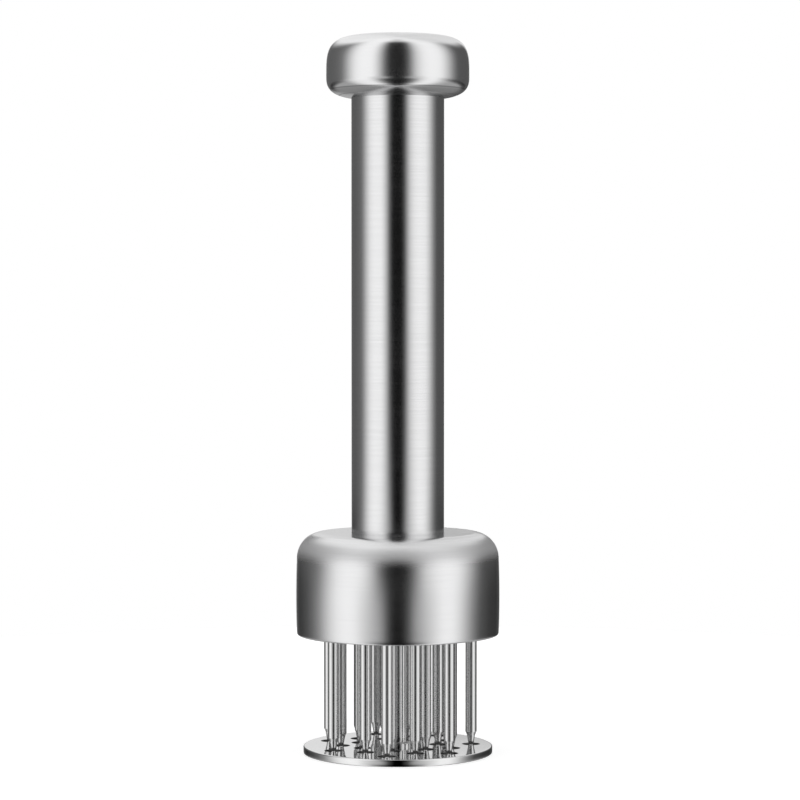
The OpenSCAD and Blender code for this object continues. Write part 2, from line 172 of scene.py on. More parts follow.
# Mix of two numbers, which are sockets 2 and 3 of the node
def addMix(tree, share, first, second):
    node = addNode(tree, "ShaderNodeMix", data_type="FLOAT")
    for place, source in ((0, share), (2, first), (3, second)):
        link(tree, source, node.inputs[place])
    return node.outputs[0]


# Mix of two fixed colours, which are sockets 6 and 7 of the node
def addColourMix(tree, share, first, second):
    node = addNode(tree, "ShaderNodeMix", data_type="RGBA")
    node.inputs[6].default_value = (*first, 1)
    node.inputs[7].default_value = (*second, 1)
    link(tree, share, node.inputs[0])
    return node.outputs[2]


def addNoise(tree, place, scale, detail, roughness):
    node = addNode(tree, "ShaderNodeTexNoise")
    node.inputs["Scale"].default_value = scale
    node.inputs["Detail"].default_value = detail
    node.inputs["Roughness"].default_value = roughness
    link(tree, place, node.inputs["Vector"])
    return node.outputs["Fac"]


def addBump(tree, height, strength, depth):
    node = addNode(tree, "ShaderNodeBump")
    node.inputs["Strength"].default_value = strength
    node.inputs["Distance"].default_value = depth
    link(tree, height, node.inputs["Height"])
    return node.outputs["Normal"]


def addCamera(look):
    data = bpy.data.cameras.new("photoCamera")
    data.lens = look["lens"]
    data.sensor_width = look["sensor"]
    data.clip_start = look["clipStart"]
    camera = bpy.data.objects.new("photoCamera", data)
    scene.collection.objects.link(camera)
    place = Vector((look["aimX"], -look["distance"], look["height"]))
    aim = Vector((look["aimX"], 0, look["aimHeight"]))
    camera.location = place
    camera.rotation_euler = (aim - place).to_track_quat("-Z", "Y").to_euler()
    scene.camera = camera


# Mesh object from whole arrays of corner points and of polygons, given as one array per number of corners
def meshObject(name, points, polygonSets, sharpAngle=32.0):
    mesh = bpy.data.meshes.new(name)
    faces = [face for polygons in polygonSets for face in polygons.tolist()]
    mesh.from_pydata(points.tolist(), [], faces)
    mesh.update()
    mesh.polygons.foreach_set("use_smooth", np.ones(len(mesh.polygons), dtype=bool))
    mesh.set_sharp_from_angle(angle=math.radians(sharpAngle))
    piece = bpy.data.objects.new(name, mesh)
    scene.collection.objects.link(piece)
    return piece


# Points of a circle in equal steps of the angle
def circlePoints(radius, steps, centre=(0.0, 0.0)):
    angle = np.arange(steps) * 2 * np.pi / steps
    return np.stack([centre[0] + radius * np.cos(angle), centre[1] + radius * np.sin(angle)], axis=1)


# Grid of an outline turned round a centre: the point (r, z) goes to (x + r cos a, y + r sin a, z) for every
# step of the angle a. The index has a row for each point of the outline and a column for each step.
def turnedGrid(outline, steps, centre):
    angle = np.arange(steps) * 2 * np.pi / steps
    x = centre[0] + np.outer(outline[:, 0], np.cos(angle))
    y = centre[1] + np.outer(outline[:, 0], np.sin(angle))
    z = np.repeat(outline[:, 1][:, None], steps, axis=1)
    index = np.arange(len(outline) * steps).reshape(len(outline), steps)
    return np.stack([x, y, z], axis=2).reshape(-1, 3), index


# Body of revolution. The outline runs counter-clockwise, so faces point outwards. A point with r = 0 is one
# vertex, and an outline that doesn't start and end on the axis is closed to itself.
def latheArrays(outline, steps, centre=(0.0, 0.0)):
    outline = np.asarray(outline, float)
    onAxis = outline[:, 0] < axisReach
    closed = not (onAxis[0] and onAxis[-1])
    points, index = turnedGrid(outline, steps, centre)
    index[onAxis] = index[onAxis][:, :1]
    low = index if closed else index[:-1]
    high = np.roll(index, -1, axis=0) if closed else index[1:]
    lowPole = onAxis if closed else onAxis[:-1]
    highPole = np.roll(onAxis, -1) if closed else onAxis[1:]
    quad = np.stack([low, np.roll(low, -1, axis=1), np.roll(high, -1, axis=1), high], axis=2)
    full = quad[~lowPole & ~highPole].reshape(-1, 4)
    fromPole = quad[lowPole & ~highPole][:, :, [0, 2, 3]].reshape(-1, 3)
    toPole = quad[~lowPole & highPole][:, :, [0, 1, 2]].reshape(-1, 3)
    corners = np.concatenate([full.ravel(), fromPole.ravel(), toPole.ravel()])
    used, flat = np.unique(corners, return_inverse=True)
    sets = []
    start = 0
    for part in (full, fromPole, toPole):
        sets.append(flat[start:start + part.size].reshape(part.shape))
        start += part.size
    return points[used], sets


def latheObject(name, outline, steps, centre=(0.0, 0.0)):
    points, sets = latheArrays(outline, steps, centre)
    return meshObject(name, points, sets)


# Outline with rounded corners. Each corner is (r, z, radius), and its arc touches both sides at the radius
# divided by the tangent of half the corner's angle. A holding point just past each end of an arc keeps the
# flats flat.
def roundedOutline(corners, closed=True, arcSteps=6, hold=0.06 * mm):
    result = []
    count = len(corners)
    for i in range(count):
        r, z, radius = corners[i]
        here = np.array([r, z])
        if radius <= 0 or (not closed and i in (0, count - 1)):
            result.append(here)
            continue
        before = np.array(corners[i - 1][:2]) - here
        after = np.array(corners[(i + 1) % count][:2]) - here
        before /= np.linalg.norm(before)
        after /= np.linalg.norm(after)
        half = math.acos(np.clip(before @ after, -1, 1)) / 2
        reach = radius / math.tan(half)
        middle = here + (before + after) / np.linalg.norm(before + after) * radius / math.sin(half)
        startArm = here + before * reach - middle
        endArm = here + after * reach - middle
        turn = math.acos(np.clip(startArm @ endArm / radius ** 2, -1, 1))
        share = np.linspace(0, 1, arcSteps + 1)[:, None]
        arms = np.sin((1 - share) * turn) * startArm + np.sin(share * turn) * endArm
        result.append(here + before * (reach + hold))
        result.extend(arms / math.sin(turn) + middle)
        result.append(here + after * (reach + hold))
    return result


# White background for the camera and for what metal mirrors: the largest of three kinds of ray
def addBackgroundShare(tree):
    path = addNode(tree, "ShaderNodeLightPath")
    mirrored = addMath(tree, "MAXIMUM", path.outputs["Is Glossy Ray"], path.outputs["Is Transmission Ray"])
    return addMath(tree, "MAXIMUM", mirrored, path.outputs["Is Camera Ray"])


# Room: white background, and as a light plain and pale from above and weaker from below
def addRoom(look):
    world = bpy.data.worlds.new("paleRoom")
    world.use_nodes = True
    tree = world.node_tree
    place = addNode(tree, "ShaderNodeTexCoord")
    split = addNode(tree, "ShaderNodeSeparateXYZ")
    link(tree, place.outputs["Generated"], split.inputs[0])
    light = addRange(tree, split.outputs["Z"], look["roomRise"], look["roomLight"])
    level = addMath(tree, "MAXIMUM", light, addBackgroundShare(tree))
    link(tree, level, tree.nodes["Background"].inputs["Color"])
    scene.world = world


# Colour ramp round the axis with one element for each (angle, colour) row, given back as its three parts
def addAngleRamp(tree, turnShare, rows):
    ramp = addNode(tree, "ShaderNodeValToRGB")
    elements = ramp.color_ramp.elements
    while len(elements) < len(rows):
        elements.new(0.5)
    for element, (degrees, colour) in zip(elements, rows):
        element.position = 0.5 + degrees / 360
        element.color = (*colour, 1)
    parts = addNode(tree, "ShaderNodeSeparateColor")
    link(tree, turnShare, ramp.inputs["Fac"])
    link(tree, ramp.outputs["Color"], parts.inputs["Color"])
    return parts.outputs


# Light of the screens at angle a and height z: a mix of the two ring lights of that angle, by a smooth step
# of z between start + softness * rise and start + rise. Under that it turns into the low light and then the
# deep light of that angle, by smooth steps of z as well. The angle's seam lies behind the tool.
def screenPaint(look):
    material, tree = newNodeMaterial("screenLight")
    rows = look["ringLight"]
    top = max(max(row[1:3]) for row in rows)
    longest = max(row[3] for row in rows)
    place = addNode(tree, "ShaderNodeTexCoord")
    height = addNode(tree, "ShaderNodeSeparateXYZ")
    turned = addNode(tree, "ShaderNodeMapping", vector_type="POINT")
    turned.inputs["Rotation"].default_value = (0, 0, math.radians(90))
    radial = addNode(tree, "ShaderNodeTexGradient", gradient_type="RADIAL")
    link(tree, place.outputs["Object"], height.inputs[0])
    link(tree, place.outputs["Object"], turned.inputs["Vector"])
    link(tree, turned.outputs["Vector"], radial.inputs["Vector"])
    upper = addAngleRamp(tree, radial.outputs["Fac"], [
        (degrees, (level / top, overhead / top, rise / longest))
        for degrees, level, overhead, rise in rows
    ])
    lower = addAngleRamp(tree, radial.outputs["Fac"], [
        (degrees, (low / top, deep / top, 0))
        for degrees, low, deep in look["lowLight"]
    ])

    risen = addNode(tree, "ShaderNodeMapRange", interpolation_type="SMOOTHSTEP")
    for socket, reach in (("From Min", look["riseSoftness"]), ("From Max", 1.0)):
        edge = addMath(tree, "MULTIPLY_ADD", upper["Blue"], longest * reach, look["riseStart"])
        link(tree, edge, risen.inputs[socket])
    link(tree, height.outputs["Z"], risen.inputs["Value"])
    level = lower["Green"]
    for ends, above in ((look["deepEnd"], lower["Red"]), (look["lowEnd"], upper["Red"])):
        step = addRange(tree, height.outputs["Z"], ends, smooth=True)
        level = addMix(tree, step, level, above)
    light = addMix(tree, risen.outputs["Result"], level, upper["Green"])
    glow = addNode(tree, "ShaderNodeEmission")
    glow.inputs["Strength"].default_value = top
    output = addNode(tree, "ShaderNodeOutputMaterial")
    link(tree, light, glow.inputs["Color"])
    link(tree, glow.outputs["Emission"], output.inputs["Surface"])
    return material


# Screen ring: a standing wall on a circle round the tool
def addScreens(look):
    circle = circlePoints(look["ringRadius"], look["ringSteps"])
    count = len(circle)
    foot = np.column_stack([circle, np.full(count, look["ringLow"])])
    head = np.column_stack([circle, np.full(count, look["ringHigh"])])
    first = np.arange(count)
    after = np.roll(first, -1)
    faces = np.stack([after, first, first + count, after + count], axis=1)
    ring = meshObject("screenRing", np.concatenate([foot, head]), [faces])
    ring.data.materials.append(screenPaint(look))
    ring.visible_camera = False
    ring.visible_shadow = False


# Plain white, lifted to the white of the background. It is clear from below, so that the tool's underside
# shows.
def floorPaint(look):
    material, tree = newNodeMaterial("paleFloorPaint")
    paint = addNode(tree, "ShaderNodeBsdfDiffuse")
    paint.inputs["Color"].default_value = look["floorColour"]
    glow = addNode(tree, "ShaderNodeEmission")
    both = addNode(tree, "ShaderNodeAddShader")
    side = addNode(tree, "ShaderNodeNewGeometry")
    clear = addNode(tree, "ShaderNodeBsdfTransparent")
    pick = addNode(tree, "ShaderNodeMixShader")
    end = addNode(tree, "ShaderNodeOutputMaterial")
    lift = addMath(tree, "MULTIPLY", addBackgroundShare(tree), look["floorLift"])
    link(tree, lift, glow.inputs["Strength"])
    link(tree, paint.outputs["BSDF"], both.inputs[0])
    link(tree, glow.outputs["Emission"], both.inputs[1])
    link(tree, side.outputs["Backfacing"], pick.inputs[0])
    link(tree, both.outputs["Shader"], pick.inputs[1])
    link(tree, clear.outputs["BSDF"], pick.inputs[2])
    link(tree, pick.outputs["Shader"], end.inputs["Surface"])
    return material


# Floor disc just under the tool. Metal mirrors the screens behind it and not the floor, as the tool in the
# photograph stands free.
def addFloor(look):
    circle = circlePoints(look["floorRadius"], look["floorSteps"])
    count = len(circle)
    points = np.column_stack([circle, np.full(count, -look["floorGap"])])
    floor = meshObject("paleFloor", points, [np.arange(count)[None, :]])
    floor.data.materials.append(floorPaint(look))
    floor.visible_glossy = False


addCamera(cameraLook)
addRoom(studioLook)
addScreens(studioLook)
addFloor(studioLook)

print("stage: finishes")


# The two noises of every steel finish, the grain and the handling marks, and the values of them between
# which the tone and the roughness go from one end to the other
steelNoise = {
    "grainDetail": 4.0,
    "grainRoughness": 0.6,
    "markDetail": 3.0,
    "markRoughness": 0.5,
    "toneRange": (0.3, 0.62),
    "grainRange": (0.3, 0.7),
    "markRange": (0.35, 0.7),
}


# Grain: a noise read at (x, y, z) times the broad scale plus (r, 0, z) times the fine scale, where r is the
# distance from the handle's axis. A fine scale makes lines that run round the axis, as brushing and turning
# leave them. A grain that runs along the axis has no fine scale, and more of the broad one on x and y.
def addGrain(tree, place, split, look):
    level = addNode(tree, "ShaderNodeCombineXYZ")
    across = addNode(tree, "ShaderNodeVectorMath", operation="LENGTH")
    turned = addNode(tree, "ShaderNodeCombineXYZ")
    link(tree, split["X"], level.inputs["X"])
    link(tree, split["Y"], level.inputs["Y"])
    link(tree, level.outputs[0], across.inputs[0])
    link(tree, across.outputs["Value"], turned.inputs["X"])
    link(tree, split["Z"], turned.inputs["Z"])
    broad = addMath(tree, "MULTIPLY", place, look["grainBroad"], kind="ShaderNodeVectorMath")
    fine = addMath(tree, "MULTIPLY", turned.outputs[0], look["grainFine"], kind="ShaderNodeVectorMath")
    spot = addMath(tree, "ADD", broad, fine, kind="ShaderNodeVectorMath")
    detail = look.get("grainDetail", steelNoise["grainDetail"])
    return addNoise(tree, spot, 1.0, detail, steelNoise["grainRoughness"])


# Places of a finish with painted shade, each as (share, tone, rise of the roughness), where a rise above 0
# makes
# the place duller too: a band round the piece painted darker, an end painted darker from a height on, and
# the walls of holes painted dark. The mesh marks these walls with the bore share on its faces.
def shadeAndDullPlaces(tree, height, look):
    places = []
    if "band" in look:
        band = look["band"]
        away = addMath(tree, "ABSOLUTE", addMath(tree, "SUBTRACT", height, band["middle"]))
        share = addRange(tree, away, (0.0, band["halfWidth"]), (1.0, 0.0), smooth=True)
        places.append((share, band["tone"], band["rough"]))
    if "dullEnd" in look:
        end = look["dullEnd"]
        share = addRange(tree, height, (end["start"], end["full"]), smooth=True)
        places.append((share, end["tone"], end["rough"]))
    if "bore" in look:
        bore = look["bore"]
        marked = addNode(tree, "ShaderNodeAttribute", attribute_type="GEOMETRY", attribute_name="boreShare")
        places.append((marked.outputs["Fac"], bore["tone"], bore["rough"]))
    return places


# Where the share is 1, the colour is taken times the tone, which paints shade there, and the roughness
# rises by its part
def addShadeAndDulling(tree, share, shadeTone, dullRough, colour, rough):
    shade = addNode(tree, "ShaderNodeVectorMath", operation="SCALE")
    link(tree, colour, shade.inputs[0])
    link(tree, addRange(tree, share, (0.0, 1.0), (1.0, shadeTone)), shade.inputs["Scale"])
    rise = addMath(tree, "MULTIPLY", share, dullRough)
    return shade.outputs[0], addMath(tree, "ADD", rough, rise)


# Steel with a grain, slow handling marks that are the same in every direction, and places of painted shade
def steelFinish(name, look):
    material, tree = newNodeMaterial(name)
    place = addNode(tree, "ShaderNodeTexCoord").outputs["Object"]
    split = addNode(tree, "ShaderNodeSeparateXYZ")
    link(tree, place, split.inputs[0])
    grain = addGrain(tree, place, split.outputs, look)
    mark = addNoise(tree, place, look["markScale"], steelNoise["markDetail"], steelNoise["markRoughness"])

    darkColour = [v * look["darkTone"] for v in look["colour"]]
    colour = addColourMix(tree, addRange(tree, grain, steelNoise["toneRange"]), darkColour, look["colour"])
    middle, spread = look["roughness"], look["grainRough"]
    grainRough = addRange(tree, grain, steelNoise["grainRange"], (middle + spread, middle - spread))
    markRough = addRange(tree, mark, steelNoise["markRange"], (0.0, look["markRough"]))
    rough = addMath(tree, "ADD", grainRough, markRough)
    for share, shadeTone, dullRough in shadeAndDullPlaces(tree, split.outputs["Z"], look):
        colour, rough = addShadeAndDulling(tree, share, shadeTone, dullRough, colour, rough)

    skin = addNode(tree, "ShaderNodeBsdfPrincipled")
    skin.inputs["Metallic"].default_value = 1.0
    end = addNode(tree, "ShaderNodeOutputMaterial")
    link(tree, colour, skin.inputs["Base Color"])
    link(tree, rough, skin.inputs["Roughness"])
    link(tree, addBump(tree, grain, look["bump"], look["bumpDepth"]), skin.inputs["Normal"])
    link(tree, skin.outputs["BSDF"], end.inputs["Surface"])
    return material


def tubeFinish():
    return steelFinish("tubeBrushed", {
        "colour": (0.77, 0.77, 0.775), "darkTone": 0.95,
        "roughness": 0.15, "grainRough": 0.02, "markRough": 0.02,
        "grainBroad": (45, 45, 0), "grainFine": (2600, 0, 2600), "markScale": 60.0,
        "bump": 0.2, "bumpDepth": 0.02 * mm,
    })


def headFinish():
    topZ = nodeTop("head_shell")
    return steelFinish("headSatin", {
        # Painted shade: a soft darker band over the shoulder, rougher as well, and the top painted darker
        "band": {"middle": topZ - 3.8 * mm, "halfWidth": 4.2 * mm, "tone": 0.96, "rough": 0.34},
        "dullEnd": {"start": topZ - 0.6 * mm, "full": topZ - 0.2 * mm, "tone": 0.88, "rough": 0.0},
        "colour": (0.79, 0.79, 0.795), "darkTone": 0.97,
        "roughness": 0.18, "grainRough": 0.02, "markRough": 0.03,
        "grainBroad": (60, 60, 0), "grainFine": (6000, 0, 6000), "markScale": 70.0,
        "bump": 0.08, "bumpDepth": 0.02 * mm,
    })


def knobFinish():
    topZ = nodeTop("knob_shell")
    return steelFinish("knobSatin", {
        # Painted shade: a thin dark line round the knob's lower corner, and the underside under it painted
        # darker and a little rougher
        "band": {"middle": topZ - 14.65 * mm, "halfWidth": 0.3 * mm, "tone": 0.5, "rough": 0.0},
        "dullEnd": {"start": topZ - 14.65 * mm, "full": topZ - 15.05 * mm, "tone": 0.68, "rough": 0.06},
        "colour": (0.8, 0.8, 0.805), "darkTone": 0.97,
        "roughness": 0.17, "grainRough": 0.02, "markRough": 0.03,
        "grainBroad": (60, 60, 0), "grainFine": (6000, 0, 6000), "markScale": 70.0,
        "bump": 0.06, "bumpDepth": 0.02 * mm,
    })


def needleFinish():
    return steelFinish("needlePolish", {
        "colour": (0.8, 0.8, 0.8), "darkTone": 0.97,
        "roughness": 0.19, "grainRough": 0.015, "markRough": 0.015,
        "grainBroad": (250, 250, 12), "grainFine": (0, 0, 0), "grainDetail": 1.0, "markScale": 120.0,
        "bump": 0.02, "bumpDepth": 0.002 * mm,
    })


def guardFinish():
    return steelFinish("guardPolish", {
        # Painted shade: the walls of the holes painted dark, and rougher as well
        "bore": {"tone": 0.2, "rough": 0.3},
        "colour": (0.8, 0.8, 0.8), "darkTone": 0.97,
        "roughness": 0.06, "grainRough": 0.015, "markRough": 0.03,
        "grainBroad": (100, 100, 0), "grainFine": (6000, 0, 6000), "markScale": 120.0,
        "bump": 0.02, "bumpDepth": 0.01 * mm,
    })


def stemFinish():
    return steelFinish("stemPolish", {
        "colour": (0.78, 0.78, 0.78), "darkTone": 0.95,
        "roughness": 0.12, "grainRough": 0.02, "markRough": 0.02,
        "grainBroad": (100, 100, 0), "grainFine": (4000, 0, 4000), "markScale": 150.0,
        "bump": 0.05, "bumpDepth": 0.01 * mm,
    })


def plateFinish():
    return steelFinish("plateTurned", {
        "colour": (0.62, 0.62, 0.62), "darkTone": 0.88,
        "roughness": 0.32, "grainRough": 0.05, "markRough": 0.04,
        "grainBroad": (40, 40, 40), "grainFine": (3000, 0, 3000), "markScale": 80.0,
        "bump": 0.3, "bumpDepth": 0.03 * mm,
    })


def innerFinish():
    return steelFinish("innerTurned", {
        "colour": (0.55, 0.55, 0.55), "darkTone": 0.85,
        "roughness": 0.36, "grainRough": 0.05, "markRough": 0.04,
        "grainBroad": (40, 40, 40), "grainFine": (2500, 0, 2500), "markScale": 80.0,
        "bump": 0.3, "bumpDepth": 0.03 * mm,
    })


def springFinish():
    return steelFinish("springDrawn", {
        "colour": (0.5, 0.5, 0.51), "darkTone": 0.85,
        "roughness": 0.28, "grainRough": 0.04, "markRough": 0.04,
        "grainBroad": (900, 900, 900), "grainFine": (0, 0, 0), "markScale": 300.0,
        "bump": 0.1, "bumpDepth": 0.02 * mm,
    })


rubberLook = {
    "darkColour": (0.03, 0.03, 0.03),
    "paleColour": (0.06, 0.06, 0.06),
    "roughness": 0.55,
    "poreScale": 2500.0,
    "poreDetail": 3.0,
    "poreRoughness": 0.5,
    "bump": 0.3,
    "bumpDepth": 0.05 * mm,
}


def rubberFinish(look):
    material, tree = newNodeMaterial("bumperSilicone")
    place = addNode(tree, "ShaderNodeTexCoord").outputs["Object"]
    pores = addNoise(tree, place, look["poreScale"], look["poreDetail"], look["poreRoughness"])
    skin = addNode(tree, "ShaderNodeBsdfPrincipled")
    skin.inputs["Roughness"].default_value = look["roughness"]
    end = addNode(tree, "ShaderNodeOutputMaterial")
    link(tree, addColourMix(tree, pores, look["darkColour"], look["paleColour"]), skin.inputs["Base Color"])
    link(tree, addBump(tree, pores, look["bump"], look["bumpDepth"]), skin.inputs["Normal"])
    link(tree, skin.outputs["BSDF"], end.inputs["Surface"])
    return material


finishes = {
    "tube_brushed": tubeFinish(),
    "head_satin": headFinish(),
    "knob_satin": knobFinish(),
    "needle_polish": needleFinish(),
    "guard_polish": guardFinish(),
    "stem_polish": stemFinish(),
    "plate_steel": plateFinish(),
    "inner_steel": innerFinish(),
    "spring_wire": springFinish(),
    "bumper_rubber": rubberFinish(rubberLook),
}


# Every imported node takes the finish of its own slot, also where a finer piece stands for it
def dressNodes():
    slotOf = {part["node"]: part["material_slot"] for part in frame["record"]["subparts"]}
    for name, node in nodes.items():
        node.data.materials.clear()
        node.data.materials.append(finishes[slotOf[name]])


def settle(piece, body, slotName, *replaced):
    piece.data.materials.append(finishes[slotName])
    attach(piece, body)
    if replaced:
        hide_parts(*replaced)


dressNodes()

print("stage: knob")

knobSizes = {
    "height": 17.2 * mm,
    "wall": 1.2 * mm,
    "ringWidth": 3.3 * mm,
    "waistHeight": 6.2 * mm,
    "crownPowers": (6.0, 3.6),
    "underPowers": (4.5, 2.9),
    "lipRound": 0.15 * mm,
    "steps": 256,
    "points": 72,
}


# Half outline of the knob: with s the sine of an even angle, r = R (1 - s^q)^(1/p) and z = waist + h s,
# once over the waist and once under it
def knobHalf(radius, waist, height, powers, count, sign):
    share = np.sin(np.linspace(0, np.pi / 2, count))
    r = radius * (1 - share ** powers[1]) ** (1 / powers[0])
    r[-1] = 0.0
    return np.stack([r, waist + sign * height * share], axis=1)


def knobProfile(sizes, inset):
    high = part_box("knob_shell")[1]
    radius = nodeRadius("knob_shell") - inset
    waist = high.z - sizes["height"] + sizes["waistHeight"]
    over = knobHalf(radius, waist, high.z - waist - inset, sizes["crownPowers"], sizes["points"], 1)
    under = knobHalf(radius, waist, sizes["waistHeight"] - inset, sizes["underPowers"], sizes["points"], -1)
    return over, under


# The outline goes down the inner skin to the mouth, over the lip and up the outer skin
def addKnobShell(sizes):
    mouth = nodeRadius("handle_tube") + sizes["ringWidth"]
    lip = mouth + sizes["lipRound"]
    over, under = knobProfile(sizes, 0)
    overIn, underIn = knobProfile(sizes, sizes["wall"])

    def heightAt(skin, r):
        return np.interp(r, skin[::-1, 0], skin[::-1, 1])

    outline = np.concatenate([
        overIn[::-1],
        underIn[underIn[:, 0] > lip][1:],
        [[mouth, heightAt(underIn, mouth)]],
        [[mouth, heightAt(under, mouth) + sizes["lipRound"]]],
        [[lip, heightAt(under, lip)]],
        under[under[:, 0] > lip][::-1],
        over[1:],
    ])
    piece = latheObject("knobShell", outline, sizes["steps"])
    settle(piece, "handle", "knob_satin", "knob_shell")


addKnobShell(knobSizes)

print("stage: handle tube")

tubeSizes = {
    "wall": 1.0 * mm,
    "edgeRound": 0.2 * mm,
    "steps": 256,
}


def addHandleTube(sizes):
    low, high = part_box("handle_tube")
    outer = nodeRadius("handle_tube")
    inner = outer - sizes["wall"]
    edge = sizes["edgeRound"]
    corners = [(outer, low.z, edge), (outer, high.z, edge), (inner, high.z, edge), (inner, low.z, edge)]
    piece = latheObject("handleTube", roundedOutline(corners), sizes["steps"])
    settle(piece, "handle", "tube_brushed", "handle_tube")


addHandleTube(tubeSizes)

print("stage: head")

headSizes = {
    "wall": 1.1 * mm,
    "swell": 0.2 * mm,
    "shoulderWidth": 6.8 * mm,
    "shoulderHeight": 7.0 * mm,
    "boreClearance": 0.05 * mm,
    "steps": 320,
    "sidePoints": 24,
    "shoulderPoints": 32,
    "lipPoints": 10,
    "hold": 0.08 * mm,
}


# Head outline: the side is the radius less swell times (2t - 1)^2 with t the height share, the shoulder is
# a quarter ellipse, and the rim is a half circle as wide as the wall
def addHeadShell(sizes):
    low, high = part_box("head_shell")
    radius = nodeRadius("head_shell")
    wall = sizes["wall"]
    lip = wall / 2
    shoulderZ = high.z - sizes["shoulderHeight"]
    bore = nodeRadius("handle_tube") + sizes["boreClearance"]

    def sideRadius(z):
        share = (z - low.z) / (shoulderZ - low.z)
        return radius - sizes["swell"] * (2 * share - 1) ** 2

    z = np.linspace(low.z + lip, shoulderZ, sizes["sidePoints"])
    side = np.stack([sideRadius(z), z], axis=1)
    edge = sideRadius(shoulderZ)
    flat = edge - sizes["shoulderWidth"]

    def shoulderArc(inset):
        turn = np.linspace(0, np.pi / 2, sizes["shoulderPoints"])[1:]
        r = flat + (edge - inset - flat) * np.cos(turn)
        return np.stack([r, shoulderZ + (sizes["shoulderHeight"] - inset) * np.sin(turn)], axis=1)

    around = np.linspace(0, np.pi, sizes["lipPoints"] + 1)[1:-1]
    lipMiddle = sideRadius(low.z + lip) - lip
    lipArc = np.stack([lipMiddle - lip * np.cos(around), low.z + lip - lip * np.sin(around)], axis=1)
    hold = sizes["hold"]
    outline = np.concatenate([
        side,
        shoulderArc(0),
        [[flat - hold, high.z], [bore + hold, high.z], [bore, high.z], [bore, high.z - wall]],
        shoulderArc(wall)[::-1],
        side[::-1] - [wall, 0],
        lipArc,
    ])
    piece = latheObject("headShell", outline, sizes["steps"])
    settle(piece, "handle", "head_satin", "head_shell")


addHeadShell(headSizes)

print("stage: needle blades")

needleSizes = {
    "shank": 3.1 * mm,
    "head": 4.6 * mm,
    "headHeight": 1.5 * mm,
    "pointHeight": 4.7 * mm,
    "shoulderHeight": 0.9 * mm,
    "neck": 2.3 * mm,
    "bevel": 1.3 * mm,
    "bevelHeight": 1.1 * mm,
    "tip": 0.2 * mm,
    "edgeRound": 0.25 * mm,
    "arcSteps": 4,
    "steps": 48,
}


def addNeedle(name, sizes):
    low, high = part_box(name)
    tip = low.z
    corners = [
        (0, tip, 0),
        (sizes["tip"] / 2, tip, 0),
        (sizes["bevel"] / 2, tip + sizes["bevelHeight"], sizes["edgeRound"]),
        (sizes["neck"] / 2, tip + sizes["pointHeight"] - sizes["shoulderHeight"], sizes["edgeRound"]),
        (sizes["shank"] / 2, tip + sizes["pointHeight"], sizes["edgeRound"]),
        (sizes["shank"] / 2, high.z - sizes["headHeight"], 0),
        (sizes["head"] / 2, high.z - sizes["headHeight"], 0),
        (sizes["head"] / 2, high.z, 0),
        (0, high.z, 0),
    ]
    outline = roundedOutline(corners, closed=False, arcSteps=sizes["arcSteps"])
    piece = latheObject(name.replace("_", ""), outline, sizes["steps"], nodeCentre(name))
    settle(piece, "handle", "needle_polish", name)


needleNames = sorted(n for n in nodes if n.startswith("needle_") and n != "needle_plate")
for needleName in needleNames:
    addNeedle(needleName, needleSizes)

print("stage: guard disc and stem")

guardSizes = {
    "rimRound": 0.35 * mm,
    "hole": 4.5 * mm,
    "holeRound": 0.18 * mm,
    "centreHole": 3.1 * mm,
    "sink": 5.7 * mm,
    "sinkDepth": 0.1 * mm,
    "hold": 0.06 * mm,
    "rimSteps": 384,
    "holeSteps": 48,
    "arcSteps": 6,
    "cutTolerance": 1e-7,           # of the triangulation, in millimetres
    "weldStep": 1e-5 * mm,          # points nearer to each other than about this become one
}


# Ring wall of a plate: an outline from the upper face over the edge to the lower one, turned round a centre
def edgeBand(outline, steps, centre, inward):
    points, index = turnedGrid(np.asarray(outline, float), steps, centre)
    upper, lower = index[:-1], index[1:]
    quad = np.stack([upper, lower, np.roll(lower, -1, axis=1), np.roll(upper, -1, axis=1)], axis=2)
    quad = quad.reshape(-1, 4)
    if inward:
        quad = quad[:, ::-1]
    return points, quad


# Rounded edge of a plate from its upper to its lower face. The side is 1 for the rim and -1 for a hole.
def plateEdge(radius, rounding, side, low, high, sizes):
    middle = radius - side * rounding
    flat = middle - side * sizes["hold"]
    turn = 90 - side * 90
    return np.concatenate([
        [[flat, high.z]],
        quarter(middle, high.z - rounding, rounding, 90, turn, sizes["arcSteps"]),
        quarter(middle, low.z + rounding, rounding, turn, 2 * turn - 90, sizes["arcSteps"]),
        [[flat, low.z]],
    ])


def quarter(centreR, centreZ, radius, fromAngle, toAngle, steps):
    turn = np.radians(np.linspace(fromAngle, toAngle, steps + 1))
    return np.stack([centreR + radius * np.cos(turn), centreZ + radius * np.sin(turn)], axis=1)


# Flat face with holes: a constrained triangulation of the circles in millimetres, less the triangles whose
# middle is in a hole. A circle is (centre, radius, steps).
def flatFace(rim, holes, z, up, tolerance):
    loops = [rim] + holes
    edges = []
    start = 0
    for centre, radius, steps in loops:
        ring = start + np.arange(steps)
        edges.append(np.stack([ring, np.roll(ring, -1)], axis=1))
        start += steps
    scale = 1 / mm
    flatPoints = np.concatenate([circlePoints(radius, steps, centre) for centre, radius, steps in loops])
    flatPoints = [Vector(p) for p in (flatPoints * scale).tolist()]
    solved = geometry.delaunay_2d_cdt(flatPoints, np.concatenate(edges).tolist(), [], 0, tolerance)
    corners = np.array([tuple(v) for v in solved[0]]) * mm
    triangles = np.array(list(solved[2]), dtype=int)
    middle = corners[triangles].mean(axis=1)
    keep = np.hypot(middle[:, 0], middle[:, 1]) < rim[1]
    for centre, radius, steps in holes:
        away = np.hypot(middle[:, 0] - centre[0], middle[:, 1] - centre[1])
        keep &= away > radius * math.cos(math.pi / steps)
    triangles = triangles[keep]
    if not up:
        triangles = triangles[:, ::-1]
    return np.column_stack([corners, np.full(len(corners), z)]), triangles


